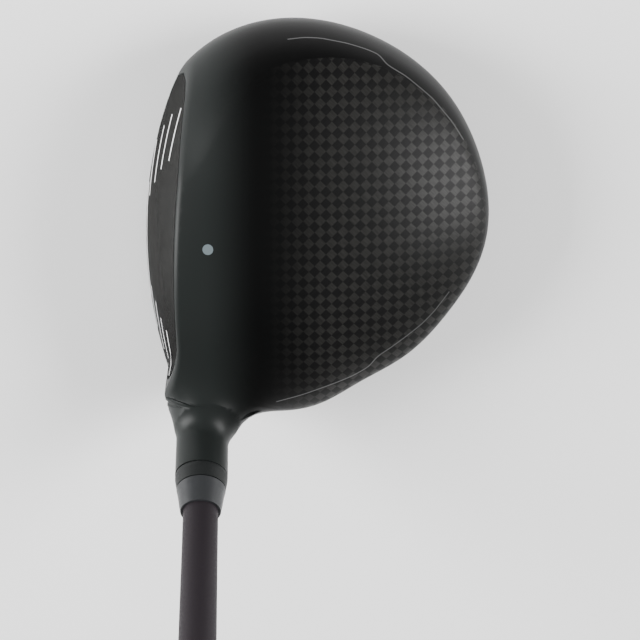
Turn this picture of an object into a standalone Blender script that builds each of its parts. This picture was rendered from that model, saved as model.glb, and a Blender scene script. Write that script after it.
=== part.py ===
"""Fairway wood with an adjustable hosel, standing at address.

Metres, +Z up. +X runs from the face to the back of the head, +Y from the heel to the toe, and the
origin is on the flat of the sole, under the middle of the head. The shaft leaves the head at the
heel and rises towards -Y.
"""
import math

import bmesh
import bpy
import numpy as np
from mathutils import Matrix, Vector

MM = 0.001

# ---- Head: the outside surface -------------------------------------------------------------
HEAD_REACH = 54.0 * MM          # from the middle of the head to the toe, seen from above
PLAN_SHAPE = (                  # outline from above: degrees round from the back, share of HEAD_REACH
    (0, 0.793), (25, 0.841), (50, 0.900), (75, 0.956), (97, 1.004), (120, 1.004), (145, 0.952),
    (180, 1.089), (215, 1.045), (240, 0.819), (262, 0.811), (285, 0.711), (308, 0.691), (332, 0.711))
WIDEST_HEIGHT = 14.0 * MM       # level of the widest outline above the sole's flat
CROWN_RISE = 24.7 * MM          # crown above that level, over the middle of the head
CROWN_FALL = 0.128              # how much that rise drops for each metre towards the back
CROWN_EXPONENT = 2.4
CROWN_OVERHANG = 3.0 * MM
SOLE_DROP = 15.0 * MM           # depth of the uncut sole below the widest level
SOLE_EXPONENT = 2.6
SKIRT_CURVE = 18.0              # inward curve of the skirt above the widest level, per metre
SKIRT_CURVE_TOE = 14.0          # more of it at the toe
SKIRT_CURVE_ANGLE = math.radians(110)
RIM_RADIUS = 1.5 * MM           # rounding where the crown meets the skirt
FLAT_EDGE = 0.4 * MM

# ---- Face ------------------------------------------------------------------------------------
LOFT = math.radians(15)
FACE_LEAD = 0.8037 * HEAD_REACH  # leading edge ahead of the middle of the head
LEAD_HEIGHT = 3.0 * MM
FACE_BULGE = 127.0 * MM         # radius of the face seen from above
FACE_TWIST = 0.8                # extra loft towards the toe, per metre
FACE_ROLL = 260.0 * MM          # radius of the face seen from the toe
FACE_MID_HEIGHT = 18.0 * MM
FACE_MID_Y = -0.05 * HEAD_REACH
FACE_EDGE = 1.0 * MM            # rounding round the face
FACE_INSET = 0.9 * MM           # the insert's edge inside the rounded edge of the face
FACE_HEEL_END = -0.76 * HEAD_REACH  # the insert stops here, short of the hosel
FACE_CORNER = 9.0 * MM
FACE_CLEAR = 0.8 * MM           # the front opening is cut this much deeper than the wall

# ---- Hosel and shaft line --------------------------------------------------------------------
LIE = math.radians(57.5)
LEAN = math.radians(1.5)
HOSEL_X = -0.5111 * HEAD_REACH  # the shaft axis where it passes HOSEL_LEVEL
HOSEL_Y = -1.0148 * HEAD_REACH
HOSEL_LEVEL = 40.0 * MM
HOSEL_RADIUS = 6.45 * MM
HOSEL_BLEND = 20.0 * MM
HOSEL_ROOT = -34.0 * MM         # the hosel's core ends here in a ball that rounds the heel
HEEL_FLARE = 2.2 * MM           # how much the core widens on its way down
HEEL_FLARE_START = -20.0 * MM
HEEL_FLARE_LENGTH = 14.0 * MM
BLEND_FADE = 14.0 * MM          # the blend into the head fades out over this at both ends
HOSEL_TOP = 0.0 * MM            # at HOSEL_LEVEL; lengths along the axis count from here, up positive
FAN_START = -0.593 * HEAD_REACH  # from here to the hosel the cross-sections swing round

# ---- Walls and fits --------------------------------------------------------------------------
GAP = 0.3 * MM                  # between pieces that are bonded or rest on each other
SLIP = 0.1 * MM                 # radial clearance of round fits that turn or slide
WALL = 2.2 * MM
PANEL = 0.9 * MM                # crown panel thickness
LEDGE = 4.5 * MM                # bonding ledge under the crown panel
PANEL_FRONT = -0.296 * HEAD_REACH  # front edge of the crown panel
PANEL_CORNER = 7.0 * MM
RIM_INSET = 0.8 * MM            # panel edge inside the crown's rim
CUT_PAST = 5.0 * MM             # cutters run on this far past the surface they open

# ---- Hosel parts, lengths along the axis -----------------------------------------------------
SLEEVE_RADIUS = 5.35 * MM
SLEEVE_BORE = 4.55 * MM
COLLAR_HEIGHT = 3.8 * MM
COLLAR_RADIUS = 6.43 * MM
COLLAR_STRAIGHT = 0.9 * MM      # then the collar tapers to the ferrule
SLEEVE_LENGTH = 22.0 * MM       # round part below the hosel's top
SLEEVE_FLOOR = 3.0 * MM         # solid floor under the shaft's tip
NOSE_LENGTH = 4.0 * MM
NOSE_ROOT = 0.5 * MM            # the toothed nose starts this far inside the sleeve's floor
NOSE_RADIUS = 3.55 * MM
SPLINE_COUNT = 8
SPLINE_DEPTH = 0.8 * MM
INSERT_CLEAR = 0.4 * MM
FERRULE_RADIUS = 6.0 * MM
FERRULE_SHAPE = (               # share of the way up, share of the way in to FERRULE_END_RADIUS
    (0.26, 0.32), (0.56, 0.58), (0.83, 0.82), (1, 1))
FERRULE_LENGTH = 6.5 * MM
FERRULE_END_RADIUS = 4.9 * MM
THREAD_RADIUS = 2.5 * MM
THREAD_HOLE = 2.65 * MM
WEB = 2.2 * MM                  # wall between the toothed ring's pocket and the screw port
WASHER = 1.0 * MM
WASHER_RADIUS = 4.4 * MM
SCREW_HEAD = 3.4 * MM
SCREW_HEAD_RADIUS = 4.2 * MM
SCREW_ENGAGED = 4.0 * MM
PORT_RADIUS = 4.8 * MM
SCREW_TRAVEL = 4.5 * MM
RETAINER = 0.8 * MM
RETAINER_GROOVE = 0.6 * MM
TUBE_WALL = 1.1 * MM
HEEL_SOLID_RADIUS = 9.0 * MM    # the heel is cast solid round the upper part of the hosel's bore
HEEL_SOLID_END = -17.0 * MM
DRIVE_RADIUS = 2.1 * MM
DRIVE_LOBE = 0.35 * MM

# ---- Shaft and grip --------------------------------------------------------------------------
CLUB_LENGTH = 1092.0 * MM       # 43 in from the ground along the axis
SHAFT_TIP_RADIUS = 4.25 * MM
SHAFT_BUTT_RADIUS = 7.6 * MM
SHAFT_WALL = 1.5 * MM
SHAFT_TIP_PARALLEL = 40.0 * MM
SHAFT_BUTT_PARALLEL = 130.0 * MM
EPOXY = 0.14 * MM
EPOXY_CLEAR = 0.08 * MM
PLUG_LENGTH = 9.0 * MM
GRIP_LENGTH = 268.0 * MM
GRIP_MOUTH_RADIUS = 9.6 * MM
GRIP_BUTT_RADIUS = 13.2 * MM
GRIP_CAP = 4.0 * MM
CAP_STEM = 6.0 * MM
TAPE = 0.3 * MM
TAPE_CLEAR = 0.15 * MM
VENT_RADIUS = 1.5 * MM

# ---- Rear weight and badge -------------------------------------------------------------------
WEIGHT_X = 0.463 * HEAD_REACH
WEIGHT_RADIUS = 8.5 * MM
WEIGHT_THICK = 5.5 * MM
WEIGHT_SUNK = 0.4 * MM
BOSS_WALL = 2.0 * MM
WEIGHT_SCREW_RADIUS = 2.5 * MM
WEIGHT_SCREW_HEAD_RADIUS = 4.1 * MM
WEIGHT_SCREW_HEAD = 2.6 * MM
WEIGHT_SCREW_ENGAGED = 5.5 * MM
BADGE_CENTRE = (-0.148 * HEAD_REACH, 0.5 * HEAD_REACH)
BADGE_HALF = (4.5 * MM, 10.0 * MM)
PAD_CENTRE = (0.04 * HEAD_REACH, 0.22 * HEAD_REACH)
PAD_RADIUS = 11.0 * MM
PAD_HEIGHT = 2.6 * MM

# ---- Score lines -----------------------------------------------------------------------------
GROOVE_RADIUS = 0.3 * MM
GROOVES = (                     # height, then the ends along Y
    (25.5 * MM, 20.5 * MM, 33.2 * MM), (19.0 * MM, 17.4 * MM, 30.9 * MM),
    (13.5 * MM, 13.2 * MM, 27.4 * MM), (8.0 * MM, 9.0 * MM, 23.1 * MM),
    (25.5 * MM, -33.7 * MM, -21.8 * MM), (19.0 * MM, -32.4 * MM, -20.2 * MM),
    (13.5 * MM, -29.7 * MM, -17.2 * MM), (8.0 * MM, -25.4 * MM, -14.4 * MM),
    (5.5 * MM, -17.4 * MM, 12.0 * MM))

# ---- Mesh fineness ---------------------------------------------------------------------------
OUTER_MESH = (24, 9, 56)       # sections to the fan and in the fan; points round each
INNER_MESH = (14, 6, 32)
FINE_POINTS = 240
BEND_SHARE = 0.55
ROUND_STEPS = 32
SMALL_STEPS = 24
THIN_SHELL_SOLVER = "MANIFOLD"  # EXACT leaves shells this thin uncut
GRAD_STEP = 0.05 * MM

AXIS = np.array([math.sin(LEAN), -math.cos(LIE) * math.cos(LEAN), math.sin(LIE) * math.cos(LEAN)])
HOSEL_POINT = np.array([HOSEL_X, HOSEL_Y, HOSEL_LEVEL])


# ---- Outside surface of the head, as a field: negative inside, metres near the surface ---------
def periodic_spline(degrees, values):
    """A smooth closed curve through values at those angles, by the tridiagonal spline equations."""
    degrees = np.array(degrees, float)
    values = np.array(values, float)
    count = len(degrees)
    knots = np.append(degrees, degrees[0] + 360)
    widths = np.diff(knots)
    matrix = np.zeros((count, count))
    slopes = np.zeros(count)
    for i in range(count):
        after = (i + 1) % count
        matrix[i, i - 1] += widths[i - 1]
        matrix[i, i] += 2 * (widths[i - 1] + widths[i])
        matrix[i, after] += widths[i]
        slopes[i] = 6 * ((values[after] - values[i]) / widths[i]
                         - (values[i] - values[i - 1]) / widths[i - 1])
    bends = np.linalg.solve(matrix, slopes)

    def at(angle):
        turned_to = np.mod(np.degrees(angle) - degrees[0], 360) + degrees[0]
        i = np.clip(np.searchsorted(knots, turned_to, side="right") - 1, 0, count - 1)
        j = (i + 1) % count
        width = widths[i]
        a = (knots[i + 1] - turned_to) / width
        b = (turned_to - knots[i]) / width
        cubic = ((a ** 3 - a) * bends[i] + (b ** 3 - b) * bends[j]) * width * width / 6
        return a * values[i] + b * values[j] + cubic
    return at


plan_radius = periodic_spline([angle for angle, _ in PLAN_SHAPE],
                              [share * HEAD_REACH for _, share in PLAN_SHAPE])


def round_max(a, b, radius):
    mix = np.clip(0.5 - 0.5 * (b - a) / radius, 0, 1)
    return b * (1 - mix) + a * mix + radius * mix * (1 - mix)


def round_min(a, b, radius):
    return -round_max(-a, -b, radius)


def as_distance(field, points):
    """A field divided by its own slope, so that it reads in metres near its surface."""
    slope = np.zeros(points.shape)
    for i in range(3):
        step = np.zeros(3)
        step[i] = GRAD_STEP
        slope[..., i] = (field(points + step) - field(points - step)) / (2 * GRAD_STEP)
    return field(points) / np.maximum(np.linalg.norm(slope, axis=-1), 1e-3)


def polar(points):
    return np.arctan2(points[..., 1], points[..., 0]), np.hypot(points[..., 0], points[..., 1])


def crown_dome(points):
    angle, radius = polar(points)
    rise = CROWN_RISE - CROWN_FALL * points[..., 0]
    level = points[..., 2] - WIDEST_HEIGHT
    reach = radius / (plan_radius(angle) + CROWN_OVERHANG)
    return reach ** CROWN_EXPONENT + np.sign(level) * (level / rise) ** 2 - 1


def sole_bowl(points):
    angle, radius = polar(points)
    level = np.minimum(points[..., 2] - WIDEST_HEIGHT, 0)
    return (radius / plan_radius(angle)) ** SOLE_EXPONENT + (level / SOLE_DROP) ** 2 - 1


def skirt(points):
    angle, radius = polar(points)
    curve = SKIRT_CURVE + SKIRT_CURVE_TOE * np.cos(angle - SKIRT_CURVE_ANGLE)
    level = np.maximum(points[..., 2] - WIDEST_HEIGHT, 0)
    return radius - plan_radius(angle) + curve * level ** 2


def bowl_and_crown(points):
    upper = round_max(as_distance(crown_dome, points), skirt(points), RIM_RADIUS)
    return np.where(points[..., 2] > WIDEST_HEIGHT, upper, as_distance(sole_bowl, points))


def face_x(y, z):
    """The face surface: loft, with bulge from heel to toe and roll from sole to crown."""
    bulge = (y - FACE_MID_Y) ** 2 / (2 * FACE_BULGE)
    roll = ((z - FACE_MID_HEIGHT) ** 2 - (LEAD_HEIGHT - FACE_MID_HEIGHT) ** 2) / (2 * FACE_ROLL)
    loft = (z - LEAD_HEIGHT) * (math.tan(LOFT) + FACE_TWIST * y)
    return -FACE_LEAD + loft + bulge + roll


def hosel(points):
    along = (points - HOSEL_POINT) @ AXIS
    held = np.maximum(along, HOSEL_ROOT)
    foot = HOSEL_POINT + held[..., None] * AXIS
    share = np.clip((HEEL_FLARE_START - held) / HEEL_FLARE_LENGTH, 0, 1)
    radius = HOSEL_RADIUS + HEEL_FLARE * share * share * (3 - 2 * share)
    return np.linalg.norm(points - foot, axis=-1) - radius


def head_field(points):
    face = (face_x(points[..., 1], points[..., 2]) - points[..., 0]) * math.cos(LOFT)
    head = round_max(bowl_and_crown(points), face, FACE_EDGE)
    along = (points - HOSEL_POINT) @ AXIS
    above = np.clip(-along / BLEND_FADE, 0.02, 1)
    below = np.clip((along - HOSEL_ROOT) / BLEND_FADE, 0.05, 1)
    joined = round_min(head, hosel(points), HOSEL_BLEND * above * below)
    return round_max(joined, -points[..., 2], FLAT_EDGE)


# ---- Loft of the head from toe to hosel --------------------------------------------------------
def shoot(centre, directions, depth, reach=90 * MM, steps=60, halvings=22):
    """Where rays from the centre leave the solid that lies depth inside the head's surface."""
    low = np.zeros(len(directions))
    high = np.full(len(directions), reach)
    found = np.zeros(len(directions), bool)
    marks = np.linspace(0, reach, steps)
    for near, far in zip(marks[:-1], marks[1:]):
        left = ~found & (head_field(centre + directions * far) + depth > 0)
        low[left] = near
        high[left] = far
        found |= left
    for _ in range(halvings):
        middle = (low + high) / 2
        outside = head_field(centre + directions * middle[:, None]) + depth > 0
        high = np.where(outside, middle, high)
        low = np.where(outside, low, middle)
    return centre + directions * ((low + high) / 2)[:, None]


def section_centre(y, depth):
    """The middle of the head's cross-section at y, or None past the toe."""
    across, up = np.meshgrid(np.linspace(-50 * MM, 60 * MM, 90), np.linspace(1 * MM, 45 * MM, 45))
    inside = head_field(np.stack([across, np.full_like(across, y), up], -1)) + depth < 0
    if not inside.any():
        return None
    return np.array([across[inside].mean(), y, up[inside].mean()])


def toe_end(depth):
    low, high = 0.0, 1.4 * HEAD_REACH
    for _ in range(26):
        middle = (low + high) / 2
        if section_centre(middle, depth) is None:
            high = middle
        else:
            low = middle
    return low


def even_by_bend(ring, count):
    """Spaces points round a closed ring by its length and, for a share, by how much it bends."""
    nexts = np.roll(ring, -1, axis=0) - ring
    lengths = np.linalg.norm(nexts, axis=1)
    along = nexts / lengths[:, None]
    turns = np.arccos(np.clip((along * np.roll(along, 1, axis=0)).sum(1), -1, 1))
    bend = (turns + np.roll(turns, -1)) / 2
    bend = (bend + np.roll(bend, 1) + np.roll(bend, -1)) / 3
    weight = (1 - BEND_SHARE) * lengths / lengths.sum() + BEND_SHARE * bend / bend.sum()
    total = np.concatenate([[0], np.cumsum(weight)])
    closed = np.concatenate([ring, ring[:1]])
    targets = np.arange(count) / count * total[-1]
    return np.stack([np.interp(targets, total, closed[:, i]) for i in range(3)], 1)


def head_sections(mesh, depth):
    """Rings of points round the head from the toe to the hosel's top, depth inside its surface."""
    to_fan, in_fan, around = mesh
    turn = np.linspace(0, 2 * math.pi, FINE_POINTS, endpoint=False)

    def ring(centre, up):
        rays = np.cos(turn)[:, None] * np.array([1.0, 0, 0]) + np.sin(turn)[:, None] * up
        return even_by_bend(shoot(centre, rays, depth), around)

    rings = []
    toe = toe_end(depth)
    for step in np.linspace(0.07, math.pi / 2, to_fan):
        y = FAN_START + (toe - FAN_START) * math.cos(step)
        centre = section_centre(y, depth)
        rings.append(ring(centre, np.array([0, 0, 1.0])))
    start = centre
    pivot_z = HOSEL_LEVEL - (FAN_START - HOSEL_Y) * AXIS[1] / AXIS[2]
    pivot = np.array([0, FAN_START, pivot_z])
    swing = math.atan2(AXIS[2], -AXIS[1])
    end_up = np.array([0, math.sin(swing), math.cos(swing)])
    start_reach = start[2] - pivot_z
    end_reach = (HOSEL_POINT - pivot) @ end_up
    for step in np.arange(1, in_fan + 1) / in_fan:
        up = np.array([0, math.sin(swing * step), math.cos(swing * step)])
        ease = step * step * (3 - 2 * step)
        centre = pivot + up * (start_reach * (1 - ease) + end_reach * ease)
        centre[0] = start[0] * (1 - ease) + HOSEL_X * ease
        rings.append(ring(centre, up))
    toe_tip = rings[0].mean(0)
    toe_tip[1] = toe
    return toe_tip, rings


# ---- Small tools -----------------------------------------------------------------------------
def clear_scene():
    for obj in list(bpy.data.objects):
        bpy.data.objects.remove(obj)


def collection(name):
    made = bpy.data.collections.new(name)
    bpy.context.scene.collection.children.link(made)
    return made


clear_scene()
PARTS = collection("fairway_wood")
CUTTERS = collection("cutters")


def material(name, colour, roughness, metallic=0.0):
    made = bpy.data.materials.new(name)
    made.use_nodes = True
    shader = made.node_tree.nodes["Principled BSDF"]
    shader.inputs["Base Color"].default_value = (*colour, 1)
    shader.inputs["Roughness"].default_value = roughness
    shader.inputs["Metallic"].default_value = metallic
    return made


def place(obj, parent=None, at=(0, 0, 0), group=PARTS):
    group.objects.link(obj)
    obj.parent = parent
    obj.location = at
    if group == CUTTERS:
        obj.hide_render = True
        obj.display_type = "WIRE"
    return obj


def finish(obj, colour, roughness, metallic=0.0):
    obj.data.materials.append(material(obj.name, colour, roughness, metallic))
    obj.data.shade_smooth()
    return obj


def frame_empty(name, origin, z_axis):
    """An empty whose +Z is the given direction and whose +X stays close to the world's."""
    z = Vector(z_axis).normalized()
    x = (Vector((1, 0, 0)) - z * z.x).normalized()
    turned = Matrix((x, z.cross(x), z)).transposed().to_4x4()
    empty = bpy.data.objects.new(name, None)
    PARTS.objects.link(empty)
    empty.matrix_world = Matrix.Translation(Vector(origin)) @ turned
    return empty


def from_bmesh(name, bm, **where):
    mesh = bpy.data.meshes.new(name)
    bm.normal_update()
    bm.to_mesh(mesh)
    bm.free()
    return place(bpy.data.objects.new(name, mesh), **where)


def turned(name, profile, steps=ROUND_STEPS, **where):
    """A turned solid. The profile is (radius, height), down the outside and then up any bore."""
    mesh = bpy.data.meshes.new(name)
    points = [(radius, 0, height) for radius, height in profile]
    edges = [(i, i + 1) for i in range(len(points) - 1)]
    if profile[0][0] > 0:
        edges.append((len(points) - 1, 0))
    mesh.from_pydata(points, edges, [])
    obj = place(bpy.data.objects.new(name, mesh), **where)
    screw = obj.modifiers.new("turn", "SCREW")
    screw.steps = screw.render_steps = steps
    screw.use_merge_vertices = True
    screw.merge_threshold = 0.01 * MM
    screw.use_smooth_shade = True
    return obj


def tube(name, outer, inner, low, high, **where):
    return turned(name, [(outer, high), (outer, low), (inner, low), (inner, high)], **where)


def rod(name, radius, low, high, **where):
    return turned(name, [(0, high), (radius, high), (radius, low), (0, low)], **where)


def combine(obj, other, operation, solver="EXACT"):
    """Joins, cuts or intersects with another object, which stays live."""
    modifier = obj.modifiers.new(other.name, "BOOLEAN")
    modifier.object = other
    modifier.operation = operation
    modifier.solver = solver
    return obj


def head_solid(name, mesh, depth, group):
    """The head's outside shape as one closed solid, or the same drawn in by depth."""
    toe_tip, rings = head_sections(mesh, depth)
    bm = bmesh.new()
    tip = bm.verts.new(toe_tip)
    loops = [[bm.verts.new(point) for point in ring] for ring in rings]
    end = bm.verts.new(rings[-1].mean(0))
    count = len(loops[0])
    for i in range(count):
        after = (i + 1) % count
        bm.faces.new((tip, loops[0][after], loops[0][i]))
        for near, far in zip(loops[:-1], loops[1:]):
            bm.faces.new((near[i], near[after], far[after], far[i]))
        bm.faces.new((end, loops[-1][i], loops[-1][after]))
    bmesh.ops.recalc_face_normals(bm, faces=bm.faces)
    return from_bmesh(name, bm, group=group)


def curve_mesh(curve):
    """The closed mesh of a filled or bevelled curve."""
    source = place(bpy.data.objects.new(curve.name, curve), group=CUTTERS)
    bpy.context.view_layer.update()
    mesh = bpy.data.meshes.new_from_object(source.evaluated_get(bpy.context.evaluated_depsgraph_get()))
    bpy.data.objects.remove(source)
    bm = bmesh.new()
    bm.from_mesh(mesh)
    bmesh.ops.remove_doubles(bm, verts=bm.verts, dist=0.001 * MM)
    bmesh.ops.recalc_face_normals(bm, faces=bm.faces)
    return bm


def outline_block(name, outline, half, frame=None, at=(0, 0, 0), group=CUTTERS):
    """A flat outline in the frame's XY plane, thickened by half each way along its Z."""
    curve = bpy.data.curves.new(name, "CURVE")
    curve.dimensions = "2D"
    curve.fill_mode = "BOTH"
    curve.extrude = half
    spline = curve.splines.new("POLY")
    spline.points.add(len(outline) - 1)
    for point, (x, y) in zip(spline.points, outline):
        point.co = (x, y, 0, 1)
    spline.use_cyclic_u = True
    return from_bmesh(name, curve_mesh(curve), parent=frame, at=at, group=group)


def pipe(name, points, radius, group=CUTTERS):
    """A round rod along a line of points, as a closed mesh."""
    curve = bpy.data.curves.new(name, "CURVE")
    curve.dimensions = "3D"
    curve.bevel_depth = radius
    curve.bevel_resolution = 1
    curve.use_fill_caps = True
    spline = curve.splines.new("POLY")
    spline.points.add(len(points) - 1)
    for point, place_at in zip(spline.points, points):
        point.co = (*place_at, 1)
    return from_bmesh(name, curve_mesh(curve), group=group)


def polar_outline(radius_at, count=72):
    turns = np.linspace(0, 2 * math.pi, count, endpoint=False)
    return [(radius_at(turn) * math.cos(turn), radius_at(turn) * math.sin(turn)) for turn in turns]


# ---- Where things sit along the shaft axis -----------------------------------------------------
SLEEVE_END = HOSEL_TOP - SLEEVE_LENGTH
SHAFT_TIP = SLEEVE_END + SLEEVE_FLOOR + GAP
NOSE_END = SLEEVE_END - NOSE_LENGTH
RING_TOP = SLEEVE_END - INSERT_CLEAR
POCKET_END = NOSE_END - INSERT_CLEAR
SEAT = POCKET_END - WEB
WASHER_END = SEAT - GAP - WASHER
SCREW_TOP = WASHER_END - GAP
SCREW_END = SCREW_TOP - SCREW_HEAD
SHANK_TOP = NOSE_END + SCREW_ENGAGED
GROOVE_TOP = SCREW_END - SCREW_TRAVEL - GAP
COLLAR_TOP = HOSEL_TOP + GAP + COLLAR_HEIGHT
FERRULE_LOW = COLLAR_TOP + GAP
FERRULE_TOP = FERRULE_LOW + FERRULE_LENGTH
GROUND = -HOSEL_LEVEL / AXIS[2]
BUTT = CLUB_LENGTH + GROUND
SHAFT_END = BUTT - GRIP_CAP - GAP
GRIP_LOW = BUTT - GRIP_LENGTH


def shaft_radius(along):
    """The shaft's outside: parallel tip, straight taper, parallel butt."""
    start = SHAFT_TIP + SHAFT_TIP_PARALLEL
    end = SHAFT_END - SHAFT_BUTT_PARALLEL
    share = min(max((along - start) / (end - start), 0), 1)
    return SHAFT_TIP_RADIUS + (SHAFT_BUTT_RADIUS - SHAFT_TIP_RADIUS) * share


# ---- Head pieces -------------------------------------------------------------------------------
def panel_radius(angle):
    """The crown panel's outline from above: just inside the rim, cut straight behind the face."""
    low, high = 0.0, 1.2 * HEAD_REACH
    along = np.array([math.cos(angle), math.sin(angle)])
    for _ in range(30):
        middle = (low + high) / 2
        x, y = along * middle
        top = crown_height(x, y)
        if skirt(np.array([x, y, top])) < -0.2 * MM:
            low = middle
        else:
            high = middle
    rim = low - RIM_INSET
    if along[0] >= -0.05:
        return float(rim)
    front = PANEL_FRONT / along[0]
    return float(round_min(np.array(rim), np.array(front), PANEL_CORNER))


def crown_height(x, y):
    """Height of the crown's dome above a point, or of its rim outside it."""
    angle, radius = math.atan2(y, x), math.hypot(x, y)
    reach = min(radius / float(plan_radius(angle) + CROWN_OVERHANG), 1)
    rise = CROWN_RISE - CROWN_FALL * x
    return WIDEST_HEIGHT + rise * math.sqrt(1 - reach ** CROWN_EXPONENT)


def grown(outline, margin):
    """An outline about the origin, moved out by a margin along its own normals."""
    points = np.array(outline)
    tangent = np.roll(points, -1, axis=0) - np.roll(points, 1, axis=0)
    normal = np.stack([tangent[:, 1], -tangent[:, 0]], 1)
    normal /= np.linalg.norm(normal, axis=1)[:, None]
    return [tuple(point) for point in points + normal * margin]


FACE_MIDDLE = np.array([2 * MM, FACE_MID_HEIGHT])


def face_outline():
    """The insert's outline as (y, z) pairs on the face surface."""
    outline = []
    for turn in np.linspace(0, 2 * math.pi, 56, endpoint=False):
        along = np.array([math.cos(turn), math.sin(turn)])
        low, high = 0.0, 1.3 * HEAD_REACH
        for _ in range(30):
            reach = (low + high) / 2
            y, z = FACE_MIDDLE + along * reach
            point = np.array([face_x(y, z), y, z])
            depth = max(float(bowl_and_crown(point)), -z)
            if depth < -FACE_INSET:
                low = reach
            else:
                high = reach
        if along[0] < -0.05:
            heel = (FACE_HEEL_END - FACE_MIDDLE[0]) / along[0]
            low = float(round_min(np.array(low), np.array(heel), FACE_CORNER))
        outline.append(tuple(FACE_MIDDLE + along * low))
    return outline


def face_slab(name, outline, ahead, behind, group=PARTS):
    """A slab that follows the face surface inside an outline, from ahead of it to behind it."""
    normal = np.array([-math.cos(LOFT), 0, math.sin(LOFT)])
    bm = bmesh.new()

    def layer(shift):
        loops = []
        for share in (1, 0.8, 0.6, 0.4, 0.2):
            spots = [FACE_MIDDLE + (np.array(spot) - FACE_MIDDLE) * share for spot in outline]
            loops.append([bm.verts.new(np.array([face_x(y, z), y, z]) + normal * shift)
                          for y, z in spots])
        y, z = FACE_MIDDLE
        return loops, bm.verts.new(np.array([face_x(y, z), y, z]) + normal * shift)

    front, front_middle = layer(ahead)
    back, back_middle = layer(-behind)
    count = len(outline)
    for i in range(count):
        after = (i + 1) % count
        for loops, middle in ((front, front_middle), (back, back_middle)):
            for outer, inner in zip(loops[:-1], loops[1:]):
                bm.faces.new((outer[i], outer[after], inner[after], inner[i]))
            bm.faces.new((loops[-1][i], loops[-1][after], middle))
        bm.faces.new((front[0][i], front[0][after], back[0][after], back[0][i]))
    bmesh.ops.recalc_face_normals(bm, faces=bm.faces)
    return from_bmesh(name, bm, group=group)


def sole_frame(name, x, y):
    """A frame on the sole below (x, y), its Z pointing out of the head."""
    low, high = -5 * MM, WIDEST_HEIGHT
    for _ in range(30):
        middle = (low + high) / 2
        if head_field(np.array([x, y, middle])) > 0:
            low = middle
        else:
            high = middle
    point = np.array([x, y, high])
    steps = np.eye(3) * GRAD_STEP
    normal = [head_field(point + step) - head_field(point - step) for step in steps]
    return frame_empty(name, point, normal)


outer_body = head_solid("head_body", OUTER_MESH, 0.0, PARTS)
finish(outer_body, (0.02, 0.022, 0.022), 0.35, 0.5)
cavity = head_solid("cavity", INNER_MESH, WALL, CUTTERS)
recess_floor = head_solid("recess_floor", INNER_MESH, PANEL + GAP, CUTTERS)
panel_back = head_solid("panel_back", INNER_MESH, PANEL, CUTTERS)
hosel_axis = frame_empty("hosel_axis", HOSEL_POINT, AXIS)
weight_axis = sole_frame("weight_axis", WEIGHT_X, 0.0)

PORT_OUT = GROUND - 4 * CUT_PAST
HEEL_SOLID_TOP = HOSEL_TOP + 4 * CUT_PAST
tube_radius = PORT_RADIUS + RETAINER_GROOVE + TUBE_WALL
hosel_tube = turned("hosel_tube", [
    (0, HEEL_SOLID_TOP), (HEEL_SOLID_RADIUS, HEEL_SOLID_TOP), (HEEL_SOLID_RADIUS, HEEL_SOLID_END),
    (tube_radius, HEEL_SOLID_END - 3 * MM), (tube_radius, PORT_OUT), (0, PORT_OUT)],
    parent=hosel_axis, group=CUTTERS)
weight_boss = rod("weight_boss", WEIGHT_RADIUS + BOSS_WALL,
                  -WEIGHT_THICK - WEIGHT_SUNK - WEIGHT_SCREW_ENGAGED - 2 * BOSS_WALL, CUT_PAST,
                  parent=weight_axis, group=CUTTERS)
combine(cavity, hosel_tube, "DIFFERENCE", THIN_SHELL_SOLVER)
combine(cavity, weight_boss, "DIFFERENCE", THIN_SHELL_SOLVER)

hosel_bore = turned("hosel_bore", [
    (0, HOSEL_TOP + CUT_PAST), (SLEEVE_RADIUS + SLIP, HOSEL_TOP + CUT_PAST),
    (SLEEVE_RADIUS + SLIP, POCKET_END), (THREAD_RADIUS + GAP, POCKET_END),
    (THREAD_RADIUS + GAP, SEAT), (PORT_RADIUS, SEAT),
    (PORT_RADIUS, GROOVE_TOP), (PORT_RADIUS + RETAINER_GROOVE, GROOVE_TOP),
    (PORT_RADIUS + RETAINER_GROOVE, GROOVE_TOP - RETAINER - 2 * GAP),
    (PORT_RADIUS, GROOVE_TOP - RETAINER - 2 * GAP), (PORT_RADIUS, PORT_OUT), (0, PORT_OUT)],
    parent=hosel_axis, group=CUTTERS)
weight_bore = turned("weight_bore", [
    (0, CUT_PAST), (WEIGHT_RADIUS + SLIP, CUT_PAST),
    (WEIGHT_RADIUS + SLIP, -WEIGHT_SUNK - WEIGHT_THICK - GAP),
    (WEIGHT_SCREW_RADIUS + SLIP, -WEIGHT_SUNK - WEIGHT_THICK - GAP),
    (WEIGHT_SCREW_RADIUS + SLIP, -WEIGHT_SUNK - WEIGHT_THICK - WEIGHT_SCREW_ENGAGED - 2 * GAP),
    (0, -WEIGHT_SUNK - WEIGHT_THICK - WEIGHT_SCREW_ENGAGED - 2 * GAP)],
    parent=weight_axis, group=CUTTERS)

# The crown panel lies in a recess, over an opening that leaves a ledge all round.
CROWN_SPAN = 30 * MM
panel_line = polar_outline(panel_radius)
crown_middle = (0, 0, WIDEST_HEIGHT + CROWN_SPAN)
panel_prism = outline_block("panel_prism", panel_line, CROWN_SPAN, at=crown_middle)
recess = outline_block("recess", grown(panel_line, GAP), CROWN_SPAN, at=crown_middle)
combine(recess, recess_floor, "DIFFERENCE", THIN_SHELL_SOLVER)
opening = outline_block("opening", grown(panel_line, -LEDGE), CROWN_SPAN, at=crown_middle)

face_line = face_outline()
face_opening = face_slab("face_opening", grown(face_line, GAP), CUT_PAST, WALL + FACE_CLEAR, CUTTERS)
face_insert = face_slab("face_insert", face_line, 0, WALL)
finish(face_insert, (0.07, 0.07, 0.07), 0.35, 0.9)

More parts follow.
